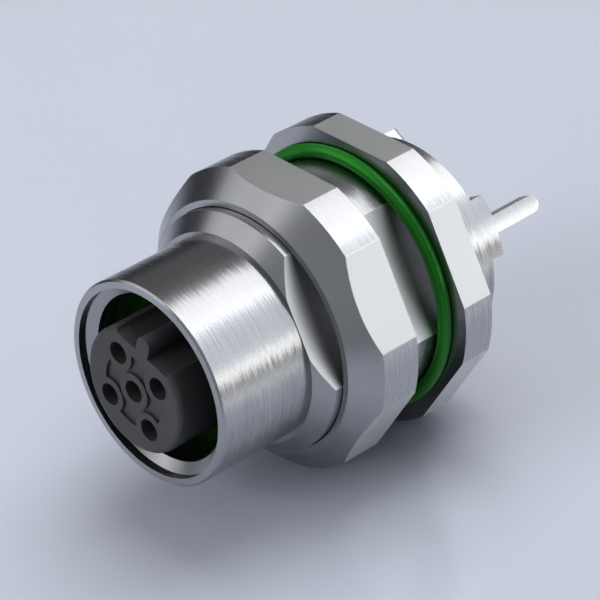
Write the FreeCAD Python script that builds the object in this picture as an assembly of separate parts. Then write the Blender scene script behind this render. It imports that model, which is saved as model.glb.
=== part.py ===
# Panel-mount circular connector, five-way female, M12 x 1 mating thread, M16 panel thread.
# Frame: millimetres, connector axis along Y, mating face towards -Y, +Z up.
# Origin: on the axis, in the plane of the board that the three rear pads stand on.
# One flat of each hexagon faces straight down, so the connector lies on its nut and its flange.

import FreeCAD, Part

import math
import os

# Stations along the axis, each one a length of its own
pad_height = 1.0              # rear pads, collar rim to board
collar_length = 3.3           # collar behind the flange
flange_thickness = 2.35
shank_length = 10.15          # panel thread in front of the flange
shell_length = 6.85           # smooth front shell in front of the shank
nut_gap = 4.2                 # flange face to nut as pictured
nut_thickness = 4.4

# Housing, outside
shank_d = 16.0
hexagon_wall = 1.5            # panel thread to spanner flat, on flange and nut alike
corner_stand = 0.5            # turned corners outside the flats
shank_end_chamfer = 1.0
shank_flat_offset = 6.75      # axis to the anti-rotation flat
shank_flat_angle = 30.0       # from +X towards +Z
shell_d = 13.4
lip_edge_chamfer = 0.12
collar_d = 14.4
collar_wall = 0.9

# Rear pads and shield pins
pad_count = 3
pad_first_angle = 30.0
pad_width = 4.0
shield_pin_width = 1.15
shield_pin_length = 4.0

# Housing, inside
mouth_d = 12.3                # relief at the lip
mouth_depth = 0.55
mouth_cone_depth = 0.42
mating_thread_minor_d = 10.96
socket_depth = 9.0            # lip to the socket floor
floor_thickness = 1.6
floor_opening_d = 9.0
rear_bore_d = 11.1
rear_seat_depth = 1.45        # insulator seat in front of the flange's rear face

# Panel nut
nut_face_land = 0.46          # flat ring between thread and cone
thread_clearance = 0.05

# Seals
panel_seal_section = 0.9
panel_seal_groove_depth = 0.23
socket_seal_section = 0.95
panel_seal_sides = 12         # flats that stand for the round section
carrier_seal_section = 1.0
carrier_seal_side_room = 0.1  # groove beside the seal, each side
seal_clearance = 0.02

# Contact carrier
carrier_proud = 1.05          # carrier face in front of the lip
carrier_column_d = 8.2
carrier_edge_radius = 0.3
carrier_edge_steps = 3        # cones that stand for the rounded rim
carrier_key_angle = 75.0      # from +X towards +Z
key_chord_offset = 3.15
key_notch_width = 4.9
key_notch_radius = 0.5
key_width = 1.06
key_tip_offset = 4.4
carrier_rear_length = 5.8
index_rib_width = 1.2
index_rib_length = 1.8
index_rib_height = 0.55

# Face relief of the carrier
face_recess_d = 4.9
face_recess_depth = 0.2
face_boss_d = 2.3
face_centre_boss_d = 2.4

# Contacts
contact_pitch_d = 5.0
contact_ring_count = 4
contact_entry_d = 1.44
contact_set_back = 1.0        # barrel front behind the carrier face
contact_barrel_d = 1.7
contact_bore_d = 1.0
contact_bore_depth = 7.0
contact_slit_width = 0.2
contact_slit_length = 5.0
contact_lead_in = 0.12
contact_collar_d = 2.2
contact_collar_length = 1.8
contact_neck_d = 1.0          # between collar and tail, guided by the insulator
contact_drill_slope = 31.0    # cone at the bottom of the bore
contact_tail_d = 0.6
contact_tail_reach = 3.4      # tail tip behind the board plane
contact_tail_chamfer = 0.15

# Fits
seat_clearance = 0.03
contact_clearance = 0.05

# Diameters that follow from others
hexagon_across_flats = shank_d + 2 * hexagon_wall
hexagon_corner_d = hexagon_across_flats + 2 * corner_stand
nut_face_d = shank_d + 2 * nut_face_land
rear_counterbore_d = collar_d - 2 * collar_wall
carrier_rear_d = rear_bore_d - 2 * seat_clearance
carrier_groove_d = rear_bore_d - 2 * (carrier_seal_section + 2 * seal_clearance)

# Planes across the axis that follow from the lengths
board_y = 0.0
collar_end_y = board_y - pad_height
flange_rear_y = collar_end_y - collar_length
flange_front_y = flange_rear_y - flange_thickness
shank_front_y = flange_front_y - shank_length
lip_y = shank_front_y - shell_length
nut_rear_y = flange_front_y - nut_gap
nut_front_y = nut_rear_y - nut_thickness
floor_front_y = lip_y + socket_depth
floor_rear_y = floor_front_y + floor_thickness
carrier_face_y = lip_y - carrier_proud
carrier_rear_y = floor_rear_y + carrier_rear_length
rear_seat_y = flange_rear_y - rear_seat_depth

ORIGIN = FreeCAD.Vector(0, 0, 0)
AXIS = FreeCAD.Vector(0, 1, 0)


def revolved(outline):
    """Solid of revolution about Y from (radius, y) corners."""
    corners = [FreeCAD.Vector(r, y, 0) for r, y in outline]
    face = Part.Face(Part.makePolygon(corners + corners[:1]))
    return face.revolve(ORIGIN, AXIS, 360)


def cylinder(diameter, y0, y1):
    return Part.makeCylinder(diameter / 2, y1 - y0, FreeCAD.Vector(0, y0, 0), AXIS)


def tube(outer_d, inner_d, y0, y1):
    return cylinder(outer_d, y0, y1).cut(cylinder(inner_d, y0, y1))


def turned(shape, angle):
    """Copy of a shape modelled towards +X, turned towards +Z about the axis."""
    copy = shape.copy()
    copy.rotate(ORIGIN, AXIS, -angle)
    return copy


def bar(x0, x1, y0, y1, width):
    """Rectangular block that lies symmetrically about the XY plane."""
    corner = FreeCAD.Vector(x0, y0, -width / 2)
    return Part.makeBox(x1 - x0, y1 - y0, width, corner)


def at_contact(shape, place):
    copy = shape.copy()
    copy.translate(place)
    return copy


def hexagon_prism(y0, y1):
    """Hexagon with one flat straight down and its corners turned to a circle."""
    corner_r = hexagon_across_flats / 2 / math.cos(math.pi / 6)
    corners = []
    for index in range(7):
        angle = index * math.pi / 3
        corners.append(FreeCAD.Vector(corner_r * math.cos(angle), y0, corner_r * math.sin(angle)))
    prism = Part.Face(Part.makePolygon(corners)).extrude(AXIS * (y1 - y0))
    return prism.common(cylinder(hexagon_corner_d, y0, y1))


# The four outer contacts stand square to the key, the fifth is on the axis
contact_places = []
for index in range(contact_ring_count):
    angle = math.radians(carrier_key_angle + 360 / contact_ring_count * (index + 0.5))
    ring_place = FreeCAD.Vector(math.cos(angle), 0, math.sin(angle)) * (contact_pitch_d / 2)
    contact_places.append(ring_place)
contact_places.append(ORIGIN)

contact_front_y = carrier_face_y + contact_set_back
contact_collar_front_y = carrier_rear_y - contact_collar_length
carrier_seal_y = (floor_rear_y + index_rib_length + contact_collar_front_y) / 2
index_rib_tip_r = rear_bore_d / 2 + index_rib_height


def rear_pad_and_pin():
    """One arc-shaped pad on the collar rim, with the flat shield pin that grows out of it."""
    pin_tip_y = board_y + shield_pin_length
    reach = collar_d / 2
    pad = tube(collar_d, rear_counterbore_d, collar_end_y, board_y)
    pad = pad.common(bar(0, reach, collar_end_y, board_y, pad_width))
    blade = tube(collar_d, rear_counterbore_d, board_y, pin_tip_y)
    blade = blade.common(bar(0, reach, board_y, pin_tip_y, shield_pin_width))
    round_end_y = pin_tip_y - shield_pin_width / 2
    nose = Part.makeCylinder(
        shield_pin_width / 2, reach, FreeCAD.Vector(0, round_end_y, 0), FreeCAD.Vector(1, 0, 0)
    )
    blade_outline = bar(0, reach, board_y, round_end_y, shield_pin_width).fuse(nose)
    return pad.fuse(blade.common(blade_outline))


def housing():
    """Turned and milled body: shell, flatted shank, flange, collar, pads and shield pins."""
    shank_r = shank_d / 2
    chamfer_r = shank_r - shank_end_chamfer
    body = revolved([
        (0, lip_y),
        (shell_d / 2 - lip_edge_chamfer, lip_y),
        (shell_d / 2, lip_y + lip_edge_chamfer),
        (shell_d / 2, shank_front_y),
        (chamfer_r, shank_front_y),
        (shank_r, shank_front_y + shank_end_chamfer),
        (shank_r, flange_front_y),
        (0, flange_front_y),
    ])
    flat_cut = bar(shank_flat_offset, shank_d, shank_front_y, flange_front_y, 2 * shank_d)
    body = body.cut(turned(flat_cut, shank_flat_angle))
    body = body.fuse(hexagon_prism(flange_front_y, flange_rear_y))
    body = body.fuse(cylinder(collar_d, flange_rear_y, collar_end_y))

    groove_outer_d = shank_d + 2 * (panel_seal_section + 2 * seal_clearance)
    groove_floor_y = flange_front_y + panel_seal_groove_depth
    body = body.cut(tube(groove_outer_d, shank_d, flange_front_y, groove_floor_y))

    cone_y = lip_y + mouth_depth
    thread_y = cone_y + mouth_cone_depth
    thread_r = mating_thread_minor_d / 2
    front_cavity = revolved([
        (0, lip_y),
        (mouth_d / 2, lip_y),
        (mouth_d / 2, cone_y),
        (thread_r, thread_y),
        (thread_r, floor_front_y),
        (0, floor_front_y),
    ])
    body = body.cut(front_cavity)
    body = body.cut(cylinder(floor_opening_d, floor_front_y, floor_rear_y))
    body = body.cut(cylinder(rear_bore_d, floor_rear_y, rear_seat_y))
    body = body.cut(cylinder(rear_counterbore_d, rear_seat_y, collar_end_y))
    slot = bar(
        floor_opening_d / 2, index_rib_tip_r + seat_clearance, floor_rear_y, rear_seat_y,
        index_rib_width + 2 * seat_clearance
    )
    body = body.cut(turned(slot, carrier_key_angle))

    for index in range(pad_count):
        body = body.fuse(turned(rear_pad_and_pin(), pad_first_angle + 360 / pad_count * index))
    return body.removeSplitter()


def panel_nut():
    """Flat hexagon nut with a wide front cone and turned corners."""
    cone_depth = (hexagon_corner_d - nut_face_d) / 2
    envelope = revolved([
        (0, nut_front_y),
        (nut_face_d / 2, nut_front_y),
        (hexagon_corner_d / 2, nut_front_y + cone_depth),
        (hexagon_corner_d / 2, nut_rear_y),
        (0, nut_rear_y),
    ])
    nut = hexagon_prism(nut_front_y, nut_rear_y).common(envelope)
    bore_d = shank_d + 2 * thread_clearance
    return nut.cut(cylinder(bore_d, nut_front_y, nut_rear_y)).removeSplitter()


def panel_seal():
    """O-ring round the shank, sunk a little into the flange groove."""
    section_r = panel_seal_section / 2
    centre_r = shank_d / 2 + seal_clearance + section_r
    centre_y = flange_front_y + panel_seal_groove_depth - seal_clearance - section_r
    outline = []
    for index in range(panel_seal_sides):
        angle = 2 * math.pi * index / panel_seal_sides
        outline.append((centre_r + section_r * math.cos(angle), centre_y + section_r * math.sin(angle)))
    return revolved(outline)


def socket_seal():
    """Flat ring on the socket floor, against the wall of the threaded bore."""
    outer_d = mating_thread_minor_d - 2 * seal_clearance
    seal_rear_y = floor_front_y - seal_clearance
    return tube(
        outer_d, outer_d - 2 * socket_seal_section, seal_rear_y - socket_seal_section, seal_rear_y
    )


def carrier_seal():
    """Ring in the groove of the carrier, pressed flat by the rear bore."""
    half = carrier_seal_section / 2
    return tube(
        rear_bore_d - 2 * seal_clearance, carrier_groove_d + 2 * seal_clearance,
        carrier_seal_y - half, carrier_seal_y + half
    )


def key_notch():
    """Space beside the coding key: a chord cut with rounded inner corners."""
    half = key_notch_width / 2
    outside = carrier_column_d
    inner = key_chord_offset
    radius = key_notch_radius
    lean = radius * math.sqrt(0.5)

    def point(x, z):
        return FreeCAD.Vector(x, carrier_face_y, z)

    def corner(side):
        centre_x = inner + radius
        centre_z = side * (half - radius)
        middle = point(centre_x - lean, centre_z + side * lean)
        start = point(inner, centre_z)
        end = point(centre_x, side * half)
        return Part.Arc(start, middle, end).toShape()

    edges = [
        Part.LineSegment(point(inner, half - radius), point(inner, radius - half)).toShape(),
        corner(-1),
        Part.LineSegment(point(inner + radius, -half), point(outside, -half)).toShape(),
        Part.LineSegment(point(outside, -half), point(outside, half)).toShape(),
        Part.LineSegment(point(outside, half), point(inner + radius, half)).toShape(),
        corner(1),
    ]
    wire = Part.Wire(Part.__sortEdges__(edges))
    return Part.Face(wire).extrude(AXIS * (floor_front_y - carrier_face_y))


def coding_key():
    """Round-nosed key that stands out of the middle of the chord."""
    nose_x = key_tip_offset - key_width / 2
    length = floor_front_y - carrier_face_y
    nose = Part.makeCylinder(key_width / 2, length, FreeCAD.Vector(nose_x, carrier_face_y, 0), AXIS)
    return bar(0, nose_x, carrier_face_y, floor_front_y, key_width).fuse(nose)


def face_relief():
    """Shallow round recess in the carrier face, without the bosses round the contact holes."""
    relief = cylinder(face_recess_d, carrier_face_y, carrier_face_y + face_recess_depth)
    for place in contact_places:
        boss_d = face_centre_boss_d if place == ORIGIN else face_boss_d
        boss = cylinder(boss_d, carrier_face_y, carrier_face_y + face_recess_depth)
        relief = relief.cut(at_contact(boss, place))
    return relief


def contact_passage():
    """Stepped hole for one contact: pin entry, barrel room, collar room."""
    barrel_room_d = contact_barrel_d + 2 * contact_clearance
    collar_room_d = contact_collar_d + 2 * contact_clearance
    return revolved([
        (0, carrier_face_y),
        (contact_entry_d / 2, carrier_face_y),
        (contact_entry_d / 2, contact_front_y - contact_clearance),
        (barrel_room_d / 2, contact_front_y - contact_clearance),
        (barrel_room_d / 2, contact_collar_front_y),
        (collar_room_d / 2, contact_collar_front_y),
        (collar_room_d / 2, carrier_rear_y),
        (0, carrier_rear_y),
    ])


def column_outline():
    """Half section of the keyed column, with its front rim rounded in steps."""
    radius = carrier_edge_radius
    corner_r = carrier_column_d / 2 - radius
    corner_y = carrier_face_y + radius
    outline = [(0, carrier_face_y)]
    for index in range(carrier_edge_steps + 1):
        angle = math.pi / 2 * index / carrier_edge_steps
        outline.append((corner_r + radius * math.sin(angle), corner_y - radius * math.cos(angle)))
    outline.append((carrier_column_d / 2, floor_front_y))
    outline.append((0, floor_front_y))
    return outline


def contact_carrier():
    """Moulded insert: keyed column with a relieved face, sealed rear body with an index rib."""
    column = revolved(column_outline())
    column = column.cut(key_notch()).fuse(coding_key())
    body = turned(column, carrier_key_angle)

    neck_d = floor_opening_d - 2 * seat_clearance
    body = body.fuse(cylinder(neck_d, floor_front_y, floor_rear_y + seat_clearance))
    body = body.fuse(cylinder(carrier_rear_d, floor_rear_y + seat_clearance, carrier_rear_y))
    rib = bar(
        0, index_rib_tip_r, floor_rear_y + seat_clearance, floor_rear_y + index_rib_length,
        index_rib_width
    )
    body = body.fuse(turned(rib, carrier_key_angle))

    groove_half = carrier_seal_section / 2 + carrier_seal_side_room
    groove_front_y = carrier_seal_y - groove_half
    groove_rear_y = carrier_seal_y + groove_half
    body = body.cut(tube(rear_bore_d, carrier_groove_d, groove_front_y, groove_rear_y))

    body = body.cut(face_relief())
    for place in contact_places:
        body = body.cut(at_contact(contact_passage(), place))
    return body.removeSplitter()


def contact():
    """Turned socket contact: slit barrel with a pin bore, locking collar, neck and solder tail."""
    bore_r = contact_bore_d / 2
    barrel_r = contact_barrel_d / 2
    tail_r = contact_tail_d / 2
    tail_tip_y = board_y + contact_tail_reach
    bore_end_y = contact_front_y + contact_bore_depth
    drill_tip_y = bore_end_y + bore_r * math.tan(math.radians(contact_drill_slope))
    body = revolved([
        (bore_r + contact_lead_in, contact_front_y),
        (barrel_r, contact_front_y),
        (barrel_r, contact_collar_front_y + contact_clearance),
        (contact_collar_d / 2, contact_collar_front_y + contact_clearance),
        (contact_collar_d / 2, carrier_rear_y),
        (contact_neck_d / 2, carrier_rear_y),
        (contact_neck_d / 2, flange_rear_y),
        (tail_r, flange_rear_y),
        (tail_r, tail_tip_y - contact_tail_chamfer),
        (tail_r - contact_tail_chamfer, tail_tip_y),
        (0, tail_tip_y),
        (0, drill_tip_y),
        (bore_r, bore_end_y),
        (bore_r, contact_front_y + contact_lead_in),
    ])
    slit = bar(
        -barrel_r, barrel_r, contact_front_y, contact_front_y + contact_slit_length,
        contact_slit_width
    )
    return body.cut(slit)


def rear_insulator():
    """Moulded disc behind the carrier that locks the contact collars and guides their necks."""
    plug_d = rear_bore_d - 2 * seat_clearance
    seat_d = rear_counterbore_d - 2 * seat_clearance
    plug_front_y = carrier_rear_y + seat_clearance
    seat_front_y = rear_seat_y + seat_clearance
    disc = cylinder(plug_d, plug_front_y, seat_front_y)
    disc = disc.fuse(cylinder(seat_d, seat_front_y, flange_rear_y))
    neck_hole_d = contact_neck_d + 2 * contact_clearance
    for place in contact_places:
        disc = disc.cut(at_contact(cylinder(neck_hole_d, plug_front_y, flange_rear_y), place))
    return disc.removeSplitter()


parts = {
    "housing": housing(),
    "panel_nut": panel_nut(),
    "panel_seal": panel_seal(),
    "socket_seal": socket_seal(),
    "carrier_seal": carrier_seal(),
    "contact_carrier": contact_carrier(),
    "rear_insulator": rear_insulator(),
}
for number, place in enumerate(contact_places, start=1):
    parts["contact_%d" % number] = at_contact(contact(), place)

os.makedirs("parts", exist_ok=True)
for name, shape in parts.items():
    shape.exportStep("parts/%s.step" % name)
    box = shape.BoundBox
    print("%-16s %s solids %d volume %9.2f  y %7.2f to %6.2f" % (
        name, shape.isValid(), len(shape.Solids), shape.Volume, box.YMin, box.YMax))
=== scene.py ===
import math

import bpy
from bpy.props import FloatProperty, FloatVectorProperty, IntProperty, PointerProperty
from mathutils import Matrix, Vector


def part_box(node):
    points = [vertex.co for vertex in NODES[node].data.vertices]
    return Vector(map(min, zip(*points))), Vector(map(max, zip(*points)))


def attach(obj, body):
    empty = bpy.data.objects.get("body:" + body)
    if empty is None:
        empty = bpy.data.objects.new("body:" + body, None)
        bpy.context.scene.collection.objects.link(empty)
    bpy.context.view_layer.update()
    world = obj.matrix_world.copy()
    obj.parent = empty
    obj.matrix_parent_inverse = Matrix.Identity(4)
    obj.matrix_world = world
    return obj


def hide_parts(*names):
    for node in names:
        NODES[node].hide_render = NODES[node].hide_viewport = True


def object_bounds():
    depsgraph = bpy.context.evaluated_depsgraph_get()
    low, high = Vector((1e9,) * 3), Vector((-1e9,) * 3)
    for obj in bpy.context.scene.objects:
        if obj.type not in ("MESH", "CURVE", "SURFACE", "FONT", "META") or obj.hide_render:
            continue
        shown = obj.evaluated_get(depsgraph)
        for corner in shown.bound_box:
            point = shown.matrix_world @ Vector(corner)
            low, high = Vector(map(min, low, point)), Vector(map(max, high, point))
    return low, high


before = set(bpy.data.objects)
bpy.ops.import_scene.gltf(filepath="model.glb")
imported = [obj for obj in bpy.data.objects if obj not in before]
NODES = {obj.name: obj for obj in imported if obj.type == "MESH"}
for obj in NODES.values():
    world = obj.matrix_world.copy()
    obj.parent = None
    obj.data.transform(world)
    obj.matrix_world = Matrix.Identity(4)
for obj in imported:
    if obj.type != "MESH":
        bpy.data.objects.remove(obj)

bl_info = {
    "name": "Panel Connector Finish",
    "version": (1, 0, 0),
    "blender": (4, 5, 0),
    "location": "View3D > Sidebar > Connector",
    "description": "Plated metal, polyamide, rubber and studio stage for a panel-mount round connector",
    "category": "Material",
}

CAD_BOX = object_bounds()
MM = 0.001

HEX_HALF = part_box("panel_nut")[1].z          # axis to a spanner flat
FLOOR_Z = min(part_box(name)[0].z for name in NODES)
CENTRE = sum(CAD_BOX, Vector()) / 2
PAINTED_POOL_CENTRE = CENTRE + Vector((-10, 10, 0)) * MM     # middle of the painted pool of light on the table
HEX_STEP = math.pi / 6                       # half the angle between two flats of a hexagon
FLANGE_FRONT = -6.65 * MM                    # front face of the rear hexagon
SHANK_FLAT = 6.75 * MM                       # axis to the milled flat of the shank
SHANK_FLAT_ANGLE = math.radians(30)
CONTACTS = sorted(name for name in NODES if name.startswith("contact_") and name[-1].isdigit())


# Node maths

class Value:
    """A node's output. Python's operators on it add Math nodes to the same tree."""

    def __init__(self, graph, socket):
        self.graph = graph
        self.socket = socket

    def math(self, operation, *others):
        sockets = {0: self}
        for place, other in enumerate(others, start=1):
            sockets[place] = other
        return self.graph.node("ShaderNodeMath", {"operation": operation}, sockets)

    def __add__(self, other):
        return self.math("ADD", other)

    __radd__ = __add__

    def __sub__(self, other):
        return self.math("SUBTRACT", other)

    def __rsub__(self, other):
        return (self * -1) + other

    def __mul__(self, other):
        return self.math("MULTIPLY", other)

    __rmul__ = __mul__

    def __truediv__(self, other):
        return self.math("DIVIDE", other)

    def __abs__(self):
        return self.math("ABSOLUTE")

    def sqrt(self):
        return self.math("SQRT")

    def largest(self, other):
        return self.math("MAXIMUM", other)

    def step(self, low, high):
        """0 below low, 1 above high, smooth between."""
        sockets = {"Value": self, "From Min": low, "From Max": high}
        return self.graph.node("ShaderNodeMapRange", {"interpolation_type": "SMOOTHSTEP"}, sockets)

    def blend(self, low, high):
        """low where this value is 0, high where it is 1."""
        sockets = {"Factor_Float": self, "A_Float": low, "B_Float": high}
        return self.graph.node("ShaderNodeMix", {"data_type": "FLOAT"}, sockets, "Result_Float")


class Graph:
    """A node tree that is filled by calls."""

    def __init__(self, tree):
        self.tree = tree

    def node(self, kind, settings=None, sockets=None, output=0):
        made = self.tree.nodes.new(kind)
        for key, setting in (settings or {}).items():
            setattr(made, key, setting)
        for key, given in (sockets or {}).items():
            socket = self.find(made.inputs, key)
            if isinstance(given, Value):
                self.tree.links.new(given.socket, socket)
            else:
                socket.default_value = given
        if not made.outputs:
            return None
        return Value(self, self.find(made.outputs, output))

    @staticmethod
    def find(sockets, key):
        """A socket by place, identifier or name."""
        if isinstance(key, int):
            return sockets[key]
        return next(s for s in sockets if key in (s.identifier, s.name))

    def vector(self, x, y, z):
        return self.node("ShaderNodeCombineXYZ", None, {0: x, 1: y, 2: z})

    def part_of(self, vector, place):
        """One of the three numbers of a vector."""
        return self.node("ShaderNodeSeparateXYZ", None, {0: vector}, output=place)


class Finish(Graph):
    """Node tree of one material."""

    def __init__(self, name):
        self.material = bpy.data.materials.new(name)
        self.material.use_nodes = True
        super().__init__(self.material.node_tree)
        self.tree.nodes.clear()

    def place(self):
        """x, y, z of the surface point in the piece's own coordinates."""
        point = self.node("ShaderNodeTexCoord", output="Object")
        return [self.part_of(point, place) for place in range(3)]

    def noise(self, vector, scale, detail=2.0, roughness=0.5):
        sockets = {"Vector": vector, "Scale": scale, "Detail": detail, "Roughness": roughness}
        return self.node("ShaderNodeTexNoise", {"noise_dimensions": "3D"}, sockets)

    def strokes(self, vector, radius):
        """Noise that also changes with the radius, for grain on faces square to the axis."""
        sockets = {"Vector": vector, "W": radius, "Scale": 1.0, "Detail": 2.0, "Roughness": 0.55}
        return self.node("ShaderNodeTexNoise", {"noise_dimensions": "4D"}, sockets)

    def lean(self, normal, direction, amount):
        """Normal that leans along a direction by an amount."""
        sockets = {"Vector": direction, "Scale": amount}
        shift = self.node("ShaderNodeVectorMath", {"operation": "SCALE"}, sockets)
        sum_of = self.node("ShaderNodeVectorMath", {"operation": "ADD"}, {0: normal, 1: shift})
        return self.node("ShaderNodeVectorMath", {"operation": "NORMALIZE"}, {0: sum_of})

    def inner(self, first, second):
        sockets = {0: first, 1: second}
        return self.node("ShaderNodeVectorMath", {"operation": "DOT_PRODUCT"}, sockets, "Value")

    def across(self, first, second):
        return self.node("ShaderNodeVectorMath", {"operation": "CROSS_PRODUCT"}, {0: first, 1: second})

    def mix(self, factor, first, second):
        sockets = {"Factor_Float": factor, "A_Color": first, "B_Color": second}
        return self.node("ShaderNodeMix", {"data_type": "RGBA"}, sockets, "Result_Color")

    def shade(self, factor, dark, light):
        """Colour between two colours by a factor."""
        return self.mix(factor, (*dark, 1.0), (*light, 1.0))

    def bump(self, height, depth, normal=None):
        """Normal of a height between 0 and 1, depth metres deep."""
        sockets = {"Height": height, "Distance": depth}
        if normal:
            sockets["Normal"] = normal
        return self.node("ShaderNodeBump", None, sockets)

    def edge(self, radius):
        """Normal with broken edges of a small radius."""
        return self.node("ShaderNodeBevel", {"samples": 6}, {"Radius": radius})

    def finish(self, sockets):
        shader = self.node("ShaderNodeBsdfPrincipled", None, sockets)
        self.node("ShaderNodeOutputMaterial", None, {"Surface": shader})
        return self.material


class Shape(Graph):
    """Geometry nodes with named sizes, turned into one plain mesh."""

    def __init__(self, name):
        super().__init__(bpy.data.node_groups.new(name, "GeometryNodeTree"))
        self.tree.interface.new_socket("Geometry", in_out="OUTPUT", socket_type="NodeSocketGeometry")
        self.given = {}

    def size(self, name, value, kind="NodeSocketFloat"):
        """A named input of the tree and the value that the piece gives it."""
        socket = self.tree.interface.new_socket(name, in_out="INPUT", socket_type=kind)
        self.given[socket.identifier] = value
        return self.node("NodeGroupInput", output=socket.identifier)

    def piece(self, geometry, material):
        """Object at the origin with the evaluated mesh."""
        finish = self.size("Finish", material, "NodeSocketMaterial")
        real = self.node("GeometryNodeRealizeInstances", None, {0: geometry})
        dressed = self.node("GeometryNodeSetMaterial", None, {"Geometry": real, "Material": finish})
        self.node("NodeGroupOutput", None, {0: dressed})
        holder = bpy.data.objects.new(self.tree.name, bpy.data.meshes.new(self.tree.name + "_start"))
        bpy.context.scene.collection.objects.link(holder)
        modifier = holder.modifiers.new("shape", "NODES")
        modifier.node_group = self.tree
        for identifier, value in self.given.items():
            modifier[identifier] = value
        evaluated = holder.evaluated_get(bpy.context.evaluated_depsgraph_get())
        mesh = bpy.data.meshes.new_from_object(evaluated)
        mesh.name = self.tree.name
        holder.modifiers.remove(modifier)
        holder.data = mesh
        return holder


def dress(node, material):
    """Gives a CAD node one material all over."""
    for slot in NODES[node].material_slots:
        slot.material = material


# Constants of the materials. Lengths are in metres, and noise scales are per metre.

FLAT_FADE = (0.03 * MM, 0.012 * MM)          # depths under a flat's plane: its look starts, its look is full
FLANGE_FADE = (0.05 * MM, 0.02 * MM)         # distances from the flange between which the milled look ends
PIN_FADE = (-0.04 * MM, -0.01 * MM)          # y between which the unbrushed shield pins begin
SQUARE_FACING = (0.25, 0.6)                  # axial share of the normal, from turned to square faces
CUT_FACING = (0.05, 0.15)                    # tangential share of the normal, from turned to cut faces
SQUARE_BRUSHING = 0.06                       # share of the brushing that faces square to the axis keep
CORNER_FADE = (8.2 * MM, 9.2 * MM)           # radii between which the brushing weakens
CORNER_LOSS = 0.5                            # share of the brushing that is lost outside them
LEAN_ARC = 1.5                               # the strokes that lean the other way: changes on the way round
LEAN_DENSITY = 1.7                           # how much closer they lie
LEAN_SHIFT = 40                              # keeps them apart from the first strokes
SWING_WEIGHT = 0.6                           # shares of the two kinds of strokes in the tone
TILT_WEIGHT = 0.4
TONE_RANGE = (0.3, 0.7)                      # values of the strokes from darkest to full colour
SPECK_STRETCH = 0.35                         # specks are drawn out along the axis
FLAT_ROUGHNESS_SPREAD = 0.1
MILLED_ROUGHNESS_SPREAD = 0.06
BLASTED_DARK = 0.92                          # brightness of the darker patches, as a share of the colour

POLYAMIDE_DARK = 0.78
POLYAMIDE_ROUGHNESS_SPREAD = 0.12
POLYAMIDE_SPECULAR = 0.3
POLYAMIDE_EDGE = 0.05 * MM
POLYAMIDE_SKIN_DEPTH = 0.004 * MM
RUBBER_DARK = 0.82
RUBBER_ROUGHNESS_SPREAD = 0.1
RUBBER_SPECULAR = 0.8
RUBBER_SPECULAR_TINT = (0.30, 1.0, 0.30, 1.0)
RUBBER_SKIN_DEPTH = 0.0015 * MM
GOLD_DARK = 0.85
GOLD_ROUGHNESS_SPREAD = 0.14
GOLD_RING_DENSITY = 12                       # turning marks lie this much closer along the axis
GOLD_RING_DEPTH = 0.002 * MM
TABLE_DARK = 0.96
TABLE_PAINTED_FALLOFF = 0.35                             # painted falloff: brightness of the distant table, as a share of its colour
TABLE_ROUGHNESS_SPREAD = 0.04
TABLE_SPECULAR = 0.5


# Materials

def dimmed(colour, share):
    """A colour at a share of its brightness."""
    return tuple(c * share for c in colour)


def spread_round(factor, middle, spread):
    """A factor between 0 and 1, turned into values round a middle."""
    return factor * spread + (middle - spread / 2)


def on_flat(distance, plane):
    """1 where a distance from the axis lies on a flat's plane, 0 inside it."""
    return distance.step(plane - FLAT_FADE[0], plane - FLAT_FADE[1])


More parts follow.
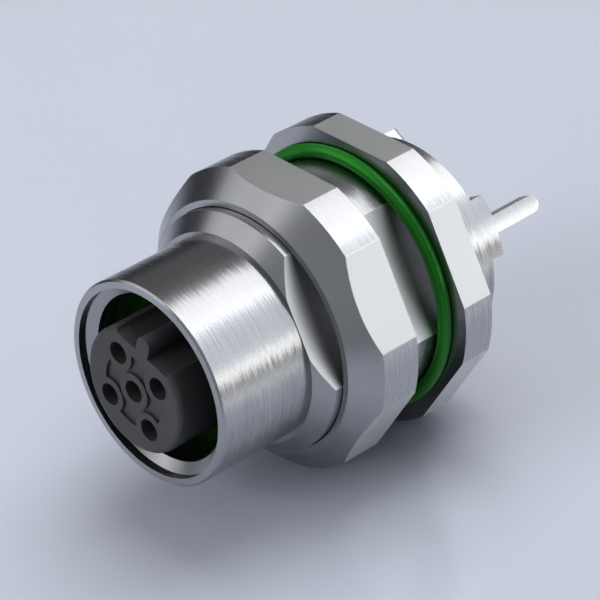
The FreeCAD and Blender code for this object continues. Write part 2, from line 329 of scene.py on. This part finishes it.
def plated_metal(name, metal, shank_flat):
    """Nickel plate: brushed turned faces, matt spanner flats, unbrushed milled shank flat."""
    g = Finish(name)
    x, y, z = g.place()
    radius = (x * x + z * z).sqrt()
    round_x = x / radius
    round_z = z / radius
    arc = g.vector(round_x * metal.grain_arc, y / metal.grain_pitch, round_z * metal.grain_arc)
    swing = g.strokes(arc, radius / metal.grain_pitch)
    lean_along = y / metal.grain_pitch * LEAN_DENSITY + LEAN_SHIFT
    lean_arc = g.vector(round_x * LEAN_ARC, lean_along, round_z * LEAN_ARC)
    tilt = g.strokes(lean_arc, radius / metal.grain_pitch * LEAN_DENSITY)
    point = g.vector(x, y, z)
    cloud = g.noise(point, scale=260.0, detail=3.0, roughness=0.55)
    speck = g.noise(g.vector(x, y * SPECK_STRETCH, z), scale=5200.0)

    edge = g.edge(metal.edge_radius)
    turned = 1 - abs(g.part_of(edge, 1)).step(*SQUARE_FACING)
    side = x * math.cos(HEX_STEP)
    lift = z * math.sin(HEX_STEP)
    across = abs(z).largest(abs(side + lift)).largest(abs(side - lift))
    spanner = on_flat(across, HEX_HALF)
    tangent = g.vector(round_z * -1, 0.0, round_x)
    cut_flat = abs(g.inner(edge, tangent)).step(*CUT_FACING)
    smooth = spanner.largest(cut_flat).largest(y.step(*PIN_FADE))
    matt = spanner
    rough = (swing - 0.5) * turned * metal.grain_spread + metal.roughness
    rough = spanner.blend(rough, metal.flat_roughness + (cloud - 0.5) * FLAT_ROUGHNESS_SPREAD)
    if shank_flat:
        along = x * math.cos(SHANK_FLAT_ANGLE) + z * math.sin(SHANK_FLAT_ANGLE)
        at_flange = y.step(FLANGE_FRONT - FLANGE_FADE[0], FLANGE_FRONT - FLANGE_FADE[1])
        milled = on_flat(along, SHANK_FLAT) * (1 - at_flange)
        rough = milled.blend(rough, metal.milled_roughness + (cloud - 0.5) * MILLED_ROUGHNESS_SPREAD)
        smooth = smooth.largest(milled)
        matt = spanner.largest(milled)
    brushed = (1 - smooth) * (turned * (1 - SQUARE_BRUSHING) + SQUARE_BRUSHING)
    brushed = brushed * (1 - radius.step(*CORNER_FADE) * CORNER_LOSS)
    normal = g.lean(edge, tangent, (swing - 0.5) * brushed * metal.grain_swing)
    normal = g.lean(normal, g.across(edge, tangent), (tilt - 0.5) * brushed * metal.grain_tilt)
    streaks = (swing * SWING_WEIGHT + tilt * TILT_WEIGHT).step(*TONE_RANGE)
    tone = streaks * brushed + cloud * (1 - brushed)
    brushed_colour = g.shade(tone, dimmed(metal.colour, 1 - metal.tone_spread), metal.colour)
    blasted_colour = g.shade(cloud, dimmed(metal.flat_colour, BLASTED_DARK), metal.flat_colour)
    return g.finish({
        "Base Color": g.mix(matt, brushed_colour, blasted_colour),
        "Metallic": 1.0,
        "Roughness": rough,
        "Normal": g.bump(speck, metal.grain_depth, normal),
    })


def moulded(name, colour, roughness, depth):
    """Glass-filled polyamide with a fine spark-eroded skin."""
    g = Finish(name)
    point = g.vector(*g.place())
    speck = g.noise(point, scale=9000.0, detail=3.0, roughness=0.6)
    flow = g.noise(point, scale=420.0)
    return g.finish({
        "Base Color": g.shade(flow, dimmed(colour, POLYAMIDE_DARK), colour),
        "Roughness": spread_round(speck, roughness, POLYAMIDE_ROUGHNESS_SPREAD),
        "Specular IOR Level": POLYAMIDE_SPECULAR,
        "Normal": g.bump(speck, depth, g.edge(POLYAMIDE_EDGE)),
    })


def rubber(name, colour, roughness):
    """Moulded green rubber, satin, with a dusty bloom."""
    g = Finish(name)
    point = g.vector(*g.place())
    bloom = g.noise(point, scale=700.0, detail=3.0, roughness=0.55)
    skin = g.noise(point, scale=12000.0)
    return g.finish({
        "Base Color": g.shade(bloom, dimmed(colour, RUBBER_DARK), colour),
        "Roughness": spread_round(bloom, roughness, RUBBER_ROUGHNESS_SPREAD),
        "Specular IOR Level": RUBBER_SPECULAR,
        "Specular Tint": RUBBER_SPECULAR_TINT,
        "Normal": g.bump(skin, RUBBER_SKIN_DEPTH),
    })


def gold(name, colour, roughness):
    """Gold flash over turned brass."""
    g = Finish(name)
    x, y, z = g.place()
    rings = g.noise(g.vector(x, y * GOLD_RING_DENSITY, z), scale=1400.0, detail=3.0, roughness=0.6)
    return g.finish({
        "Base Color": g.shade(rings, dimmed(colour, GOLD_DARK), colour),
        "Metallic": 1.0,
        "Roughness": spread_round(rings, roughness, GOLD_ROUGHNESS_SPREAD),
        "Normal": g.bump(rings, GOLD_RING_DEPTH),
    })


def table_top(name, colour, roughness, pale_to, dark_from):
    """Pale, slightly glossy stage with a painted pool of light: its colour darkens away from the connector.
    """
    g = Finish(name)
    x, y, z = g.place()
    cloud = g.noise(g.vector(x, y, z), scale=60.0)
    side = x - PAINTED_POOL_CENTRE.x
    along = y - PAINTED_POOL_CENTRE.y
    # painted pool of light: the table's colour is painted darker with distance from the pool's centre
    painted_fade = (side * side + along * along).sqrt().step(pale_to, dark_from)
    near_colour = g.shade(cloud, dimmed(colour, TABLE_DARK), colour)
    return g.finish({
        "Base Color": g.mix(painted_fade, near_colour, (*dimmed(colour, TABLE_PAINTED_FALLOFF), 1.0)),
        "Roughness": cloud * TABLE_ROUGHNESS_SPREAD + roughness,
        "Specular IOR Level": TABLE_SPECULAR,
    })


# Pieces

LINE_CORE = 0.3                              # share of the moulding line's width that has its full height
RING_SEGMENTS = 240
SECTION_POINTS = 72


def moulded_ring(name, node, flash_height, flash_width, material):
    """O-ring of a CAD node's size: a round section with its moulding line, carried round the Y axis."""
    low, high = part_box(node)
    section_radius = (high.y - low.y) / 2
    g = Shape(name)
    ring_r = g.size("Ring radius", high.x - section_radius)
    section_r = g.size("Section radius", section_radius)
    place = g.size("Place along the axis", (low.y + high.y) / 2)
    line_height = g.size("Moulding line height", flash_height)
    line_width = g.size("Moulding line width", flash_width)
    around = g.size("Segments around", RING_SEGMENTS, "NodeSocketInt")
    section_points = g.size("Section points", SECTION_POINTS, "NodeSocketInt")
    outline = {"Resolution": section_points, "Radius": section_r}
    section = g.node("GeometryNodeCurvePrimitiveCircle", None, outline)
    point = g.node("GeometryNodeInputPosition")
    side = g.part_of(point, 0)
    line = 1 - abs(g.part_of(point, 1)).step(line_width * LINE_CORE, line_width)
    shift = g.vector(line * line_height * side / section_r, 0.0, 0.0)
    section = g.node("GeometryNodeSetPosition", None, {"Geometry": section, "Offset": shift})
    path = g.node("GeometryNodeCurvePrimitiveCircle", None, {"Resolution": around, "Radius": ring_r})
    ring = g.node("GeometryNodeCurveToMesh", None, {"Curve": path, "Profile Curve": section})
    ring = g.node("GeometryNodeSetShadeSmooth", None, {"Geometry": ring, "Shade Smooth": True})
    ring = g.node("GeometryNodeTransform", None, {
        "Geometry": ring, "Rotation": (math.pi / 2, 0.0, 0.0), "Translation": g.vector(0.0, place, 0.0)})
    return g.piece(ring, material)


# Settings

class ConnectorMetal(bpy.types.PropertyGroup):
    colour: FloatVectorProperty(
        name="Colour", description="Nickel plate", subtype="COLOR", size=3, min=0, max=1,
        default=(0.41, 0.415, 0.43))
    flat_colour: FloatVectorProperty(
        name="Flat colour", description="Nickel plate on the matt spanner flats", subtype="COLOR",
        size=3, min=0, max=1, default=(0.56, 0.565, 0.575))
    tone_spread: FloatProperty(
        name="Tone spread", description="How much darker the plate gets between brush strokes", default=0.22)
    roughness: FloatProperty(name="Turned roughness", description="Roughness of turned faces", default=0.27)
    flat_roughness: FloatProperty(
        name="Flat roughness", description="Roughness of the spanner flats", default=0.52)
    milled_roughness: FloatProperty(
        name="Milled roughness", description="Roughness of the shank's flat", default=0.42)
    grain_pitch: FloatProperty(
        name="Grain pitch", description="Spacing of the brush strokes", subtype="DISTANCE", unit="LENGTH",
        default=0.055 * MM, precision=6)
    grain_arc: FloatProperty(
        name="Grain arc", description="How often a stroke changes on its way round", default=1.6)
    grain_swing: FloatProperty(
        name="Grain swing", description="Lean of the strokes along the turning direction", default=0.26)
    grain_tilt: FloatProperty(
        name="Grain tilt", description="Lean of the strokes across the turning direction", default=0.14)
    grain_depth: FloatProperty(
        name="Speck depth", description="Depth of the fine specks", subtype="DISTANCE", unit="LENGTH",
        default=0.002 * MM, precision=6)
    grain_spread: FloatProperty(
        name="Grain spread", description="Change of roughness from stroke to stroke", default=0.20)
    edge_radius: FloatProperty(
        name="Edge radius", description="Broken edges", subtype="DISTANCE", unit="LENGTH",
        default=0.018 * MM, precision=6)


class ConnectorPlastics(bpy.types.PropertyGroup):
    carrier_colour: FloatVectorProperty(
        name="Carrier", description="Dark grey polyamide", subtype="COLOR", size=3, min=0, max=1,
        default=(0.042, 0.0425, 0.045))
    carrier_roughness: FloatProperty(name="Carrier roughness", description="Moulded skin", default=0.5)
    seal_colour: FloatVectorProperty(
        name="Seals", description="Green rubber", subtype="COLOR", size=3, min=0, max=1,
        default=(0.006, 0.17, 0.007))
    seal_roughness: FloatProperty(name="Seal roughness", description="Satin rubber", default=0.30)
    line_height: FloatProperty(
        name="Moulding line height", description="Flash left by the seal's mould", subtype="DISTANCE",
        unit="LENGTH", default=0.015 * MM, precision=6)
    line_width: FloatProperty(
        name="Moulding line width", description="Half width of that flash", subtype="DISTANCE",
        unit="LENGTH", default=0.05 * MM, precision=6)
    gold_colour: FloatVectorProperty(
        name="Contacts", description="Gold plate", subtype="COLOR", size=3, min=0, max=1,
        default=(0.83, 0.60, 0.24))
    gold_roughness: FloatProperty(name="Contact roughness", description="Turned and plated", default=0.24)


class ConnectorStage(bpy.types.PropertyGroup):
    floor_colour: FloatVectorProperty(
        name="Floor", description="Pale blue grey table", subtype="COLOR", size=3, min=0, max=1,
        default=(0.55, 0.59, 0.69))
    floor_roughness: FloatProperty(name="Floor roughness", description="Slightly glossy table", default=0.11)
    world_colour: FloatVectorProperty(
        name="World", description="Dim room", subtype="COLOR", size=3, min=0, max=1,
        default=(0.030, 0.031, 0.035))
    # pale_to and dark_from size the painted pool of light on the table: painted light inside, painted shade
    # outside
    pale_to: FloatProperty(
        name="Pale to", description="The floor darkens from this distance on", subtype="DISTANCE",
        unit="LENGTH", default=0.045)
    dark_from: FloatProperty(
        name="Dark from", description="The floor is dark from this distance on", subtype="DISTANCE",
        unit="LENGTH", default=0.11)
    floor_radius: FloatProperty(
        name="Floor radius", description="Radius of the round table", subtype="DISTANCE",
        unit="LENGTH", default=3.0)
    floor_segments: IntProperty(
        name="Floor segments", description="Corners of the round table", default=96)


# Stage

# Softboxes: name, direction from the connector, width and height in degrees, radiance, colour.
# The first list is seen in metal and gloss, the second lights matt surfaces.
REFLECTED = (
    ("overhead", (0.10, 0.54, 0.84), (34, 66), 2.6, (1.0, 1.0, 1.0)),
    ("sky_panel", (0.60, 0.56, 0.56), (46, 66), 1.40, (0.90, 0.95, 1.0)),
    ("rear_strip", (0.83, 0.54, 0.145), (10, 70), 3.4, (1.0, 0.99, 0.95)),
    ("rear_left", (-0.62, 0.55, 0.56), (46, 46), 0.13, (1.0, 1.0, 1.0)),
    ("front_left", (-0.62, -0.54, 0.56), (44, 44), 1.0, (1.0, 1.0, 1.0)),
    ("left_wall", (-0.62, -0.75, 0.20), (30, 30), 0.7, (1.0, 1.0, 1.0)),
    ("front_wall", (0.40, -0.80, 0.38), (110, 70), 0.37, (0.93, 0.96, 1.0)),
    ("back_wall", (0.00, 0.94, 0.34), (56, 40), 0.6, (1.0, 1.0, 1.0)),
)
CAST = (
    ("key", (-0.22, 0.36, 0.91), (46, 46), 4.0, (1.0, 0.99, 0.97)),
    ("dome", (0.00, -0.10, 1.00), (110, 110), 0.38, (0.97, 0.98, 1.0)),
    ("front_fill", (-0.22, -0.93, 0.28), (24, 24), 12.0, (1.0, 1.0, 1.0)),
)
SOFTBOX_DISTANCE = 0.30

# The photo's camera, fitted to the circles and corners seen in it.
CAMERA_PLACE = (103.95 * MM, -112.86 * MM, 94.78 * MM)
CAMERA_ANGLES = (45.56, 33.03, -0.27)        # degrees: to the side, up, and roll
CAMERA_LENS = 168.48                         # mm
CAMERA_SENSOR = 36.0                         # mm
CAMERA_REACH = (0.001, 20.0)                 # nearest and farthest distance seen


def softbox(name, direction, spans, radiance, colour, target):
    """Area lamp seen at the given angles from the connector; its power gives the radiance."""
    aim = Vector(direction).normalized()
    lamp = bpy.data.lights.new(name, "AREA")
    lamp.shape = "RECTANGLE"
    lamp.size = 2 * SOFTBOX_DISTANCE * math.tan(math.radians(spans[0] / 2))
    lamp.size_y = 2 * SOFTBOX_DISTANCE * math.tan(math.radians(spans[1] / 2))
    lamp.energy = radiance * math.pi * lamp.size * lamp.size_y
    lamp.color = colour
    holder = bpy.data.objects.new(name, lamp)
    bpy.context.scene.collection.objects.link(holder)
    up = Vector((0, 1, 0)) - aim * aim.y
    up.normalize()
    right = up.cross(aim)
    holder.matrix_world = Matrix((
        (right.x, up.x, aim.x, target.x + aim.x * SOFTBOX_DISTANCE),
        (right.y, up.y, aim.y, target.y + aim.y * SOFTBOX_DISTANCE),
        (right.z, up.z, aim.z, target.z + aim.z * SOFTBOX_DISTANCE),
        (0, 0, 0, 1),
    ))
    holder.visible_camera = False
    return holder


def camera():
    """Camera at the photograph's place and angle."""
    data = bpy.data.cameras.new("camera")
    data.lens = CAMERA_LENS
    data.sensor_width = CAMERA_SENSOR
    data.clip_start, data.clip_end = CAMERA_REACH
    holder = bpy.data.objects.new("camera", data)
    bpy.context.scene.collection.objects.link(holder)
    azimuth, elevation, roll = (math.radians(a) for a in CAMERA_ANGLES)
    back = Vector((
        math.sin(azimuth) * math.cos(elevation),
        -math.cos(azimuth) * math.cos(elevation),
        math.sin(elevation),
    ))
    level = Vector((0, 0, 1)).cross(back).normalized()
    upright = back.cross(level)
    right = level * math.cos(roll) + upright * math.sin(roll)
    up = upright * math.cos(roll) - level * math.sin(roll)
    holder.matrix_world = Matrix((
        (right.x, up.x, back.x, CAMERA_PLACE[0]),
        (right.y, up.y, back.y, CAMERA_PLACE[1]),
        (right.z, up.z, back.z, CAMERA_PLACE[2]),
        (0, 0, 0, 1),
    ))
    bpy.context.scene.camera = holder


# Operators

class CONNECTOR_OT_housing(bpy.types.Operator):
    """Plate the housing"""
    bl_idname = "connector.housing"
    bl_label = "Housing"

    def execute(self, context):
        dress("housing", plated_metal("nickel_housing", context.scene.connector_metal, True))
        return {"FINISHED"}


class CONNECTOR_OT_nut(bpy.types.Operator):
    """Plate the panel nut"""
    bl_idname = "connector.nut"
    bl_label = "Panel nut"

    def execute(self, context):
        dress("panel_nut", plated_metal("nickel_panel_nut", context.scene.connector_metal, False))
        return {"FINISHED"}


class CONNECTOR_OT_seals(bpy.types.Operator):
    """Mould the panel seal and colour the rubber"""
    bl_idname = "connector.seals"
    bl_label = "Seals"

    def execute(self, context):
        plastics = context.scene.connector_plastics
        green = rubber("green_rubber", plastics.seal_colour, plastics.seal_roughness)
        for name in ("panel_seal", "socket_seal", "carrier_seal"):
            dress(name, green)
        ring = moulded_ring("panel_ring", "panel_seal", plastics.line_height, plastics.line_width, green)
        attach(ring, "connector")
        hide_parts("panel_seal")
        return {"FINISHED"}


class CONNECTOR_OT_mouldings(bpy.types.Operator):
    """Colour the contact carrier and the rear insulator"""
    bl_idname = "connector.mouldings"
    bl_label = "Mouldings"

    def execute(self, context):
        plastics = context.scene.connector_plastics
        dark = moulded(
            "dark_polyamide_skin", plastics.carrier_colour, plastics.carrier_roughness, POLYAMIDE_SKIN_DEPTH)
        for name in ("contact_carrier", "rear_insulator"):
            dress(name, dark)
        return {"FINISHED"}


class CONNECTOR_OT_contacts(bpy.types.Operator):
    """Plate the five contacts"""
    bl_idname = "connector.contacts"
    bl_label = "Contacts"

    def execute(self, context):
        plastics = context.scene.connector_plastics
        plate = gold("gold_plate", plastics.gold_colour, plastics.gold_roughness)
        for name in CONTACTS:
            dress(name, plate)
        return {"FINISHED"}


class CONNECTOR_OT_stage(bpy.types.Operator):
    """Lay the table, hang the softboxes and place the camera"""
    bl_idname = "connector.stage"
    bl_label = "Stage"

    def execute(self, context):
        stage = context.scene.connector_stage
        mesh = bpy.data.meshes.new("floor")
        corners = []
        for index in range(stage.floor_segments):
            angle = 2 * math.pi * index / stage.floor_segments
            corners.append((
                CENTRE.x + stage.floor_radius * math.cos(angle),
                CENTRE.y + stage.floor_radius * math.sin(angle),
                FLOOR_Z,
            ))
        mesh.from_pydata(corners, [], [list(range(len(corners)))])
        floor = bpy.data.objects.new("floor", mesh)
        floor.data.materials.append(table_top(
            "table_top", stage.floor_colour, stage.floor_roughness, stage.pale_to, stage.dark_from))
        context.scene.collection.objects.link(floor)

        for lamp in REFLECTED:
            softbox(*lamp, CENTRE).visible_diffuse = False
        for lamp in CAST:
            softbox(*lamp, CENTRE).visible_glossy = False

        world = bpy.data.worlds.new("room")
        world.use_nodes = True
        world.node_tree.nodes["Background"].inputs["Color"].default_value = (*stage.world_colour, 1.0)
        context.scene.world = world
        context.scene.view_settings.view_transform = "Standard"
        camera()
        return {"FINISHED"}


class CONNECTOR_PT_panel(bpy.types.Panel):
    """Lists the connector's pieces"""
    bl_idname = "CONNECTOR_PT_panel"
    bl_label = "Connector"
    bl_space_type = "VIEW_3D"
    bl_region_type = "UI"
    bl_category = "Connector"

    def draw(self, context):
        for operator in OPERATORS:
            self.layout.operator(operator.bl_idname)
        scene = context.scene
        for group in (scene.connector_metal, scene.connector_plastics, scene.connector_stage):
            column = self.layout.column()
            for key in group.__annotations__:
                column.prop(group, key)


OPERATORS = (
    CONNECTOR_OT_housing,
    CONNECTOR_OT_nut,
    CONNECTOR_OT_seals,
    CONNECTOR_OT_mouldings,
    CONNECTOR_OT_contacts,
    CONNECTOR_OT_stage,
)
GROUPS = (ConnectorMetal, ConnectorPlastics, ConnectorStage)


def register():
    for made in (*GROUPS, *OPERATORS, CONNECTOR_PT_panel):
        bpy.utils.register_class(made)
    bpy.types.Scene.connector_metal = PointerProperty(type=ConnectorMetal)
    bpy.types.Scene.connector_plastics = PointerProperty(type=ConnectorPlastics)
    bpy.types.Scene.connector_stage = PointerProperty(type=ConnectorStage)


def unregister():
    del bpy.types.Scene.connector_stage
    del bpy.types.Scene.connector_plastics
    del bpy.types.Scene.connector_metal
    for made in reversed((*GROUPS, *OPERATORS, CONNECTOR_PT_panel)):
        bpy.utils.unregister_class(made)


def main():
    register()
    for operator in OPERATORS:
        family, name = operator.bl_idname.split(".")
        getattr(getattr(bpy.ops, family), name)()


if __name__ == "__main__":
    main()
